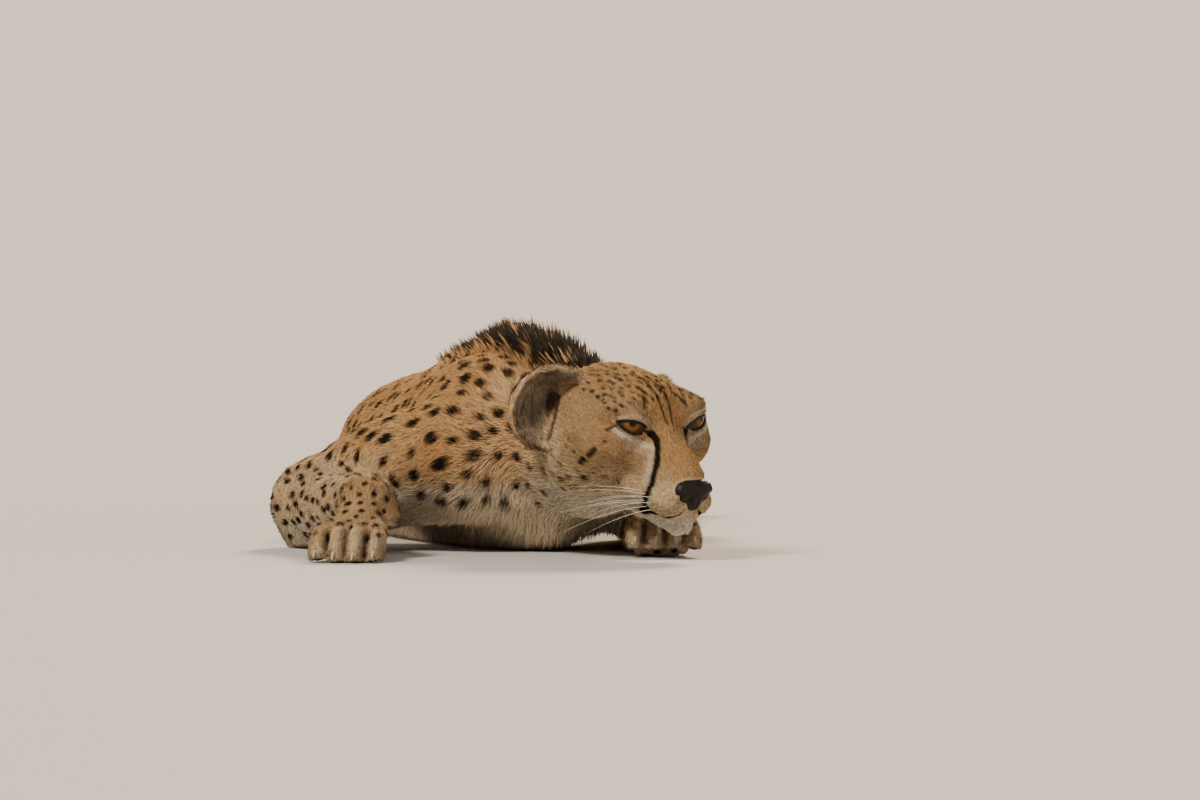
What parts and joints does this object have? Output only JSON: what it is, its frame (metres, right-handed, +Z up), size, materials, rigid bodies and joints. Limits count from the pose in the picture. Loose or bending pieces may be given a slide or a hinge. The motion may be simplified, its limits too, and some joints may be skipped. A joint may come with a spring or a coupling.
{
  "type": "cheetah model",
  "caption": "Life-size cheetah lying on its belly with its head low, one forepaw out in front and the other under the chin, and the tail laid behind.",
  "frame": {"origin": "centre of the model's footprint box, on the floor", "axes": "+X from the tail towards the head, +Y towards the animal's left side, +Z up"},
  "size_m": [1.4536, 0.412, 0.212],
  "materials": {
    "coat": "short tawny fur with solid black spots, paler below",
    "nose_leather": "fine-grained black skin, slightly moist",
    "eye": "glossy, amber-brown iris",
    "claw": "smooth horn"
  },
  "bodies": {
    "root": {"head": "coat", "neck": "coat", "chest": "coat", "rump": "coat", "tail_root": "coat", "tail_middle": "coat", "tail_tip": "coat", "upper_arm_right": "coat", "forearm_right": "coat", "forepaw_right": "coat", "upper_arm_left": "coat", "forearm_left": "coat", "forepaw_left": "coat", "shank_left": "coat", "hind_foot_left": "coat", "shank_right": "coat", "hind_foot_right": "coat", "ear_right": "coat", "ear_left": "coat", "eye_right": "eye", "eye_left": "eye", "nose": "nose_leather", "claw_forepaw_right_1": "claw", "claw_forepaw_right_2": "claw", "claw_forepaw_right_3": "claw", "claw_forepaw_right_4": "claw", "claw_forepaw_left_1": "claw", "claw_forepaw_left_2": "claw", "claw_forepaw_left_3": "claw", "claw_forepaw_left_4": "claw", "claw_hind_foot_left_1": "claw", "claw_hind_foot_left_2": "claw", "claw_hind_foot_left_3": "claw", "claw_hind_foot_left_4": "claw", "claw_hind_foot_right_1": "claw", "claw_hind_foot_right_2": "claw", "claw_hind_foot_right_3": "claw", "claw_hind_foot_right_4": "claw"}
  },
  "joints": []
}
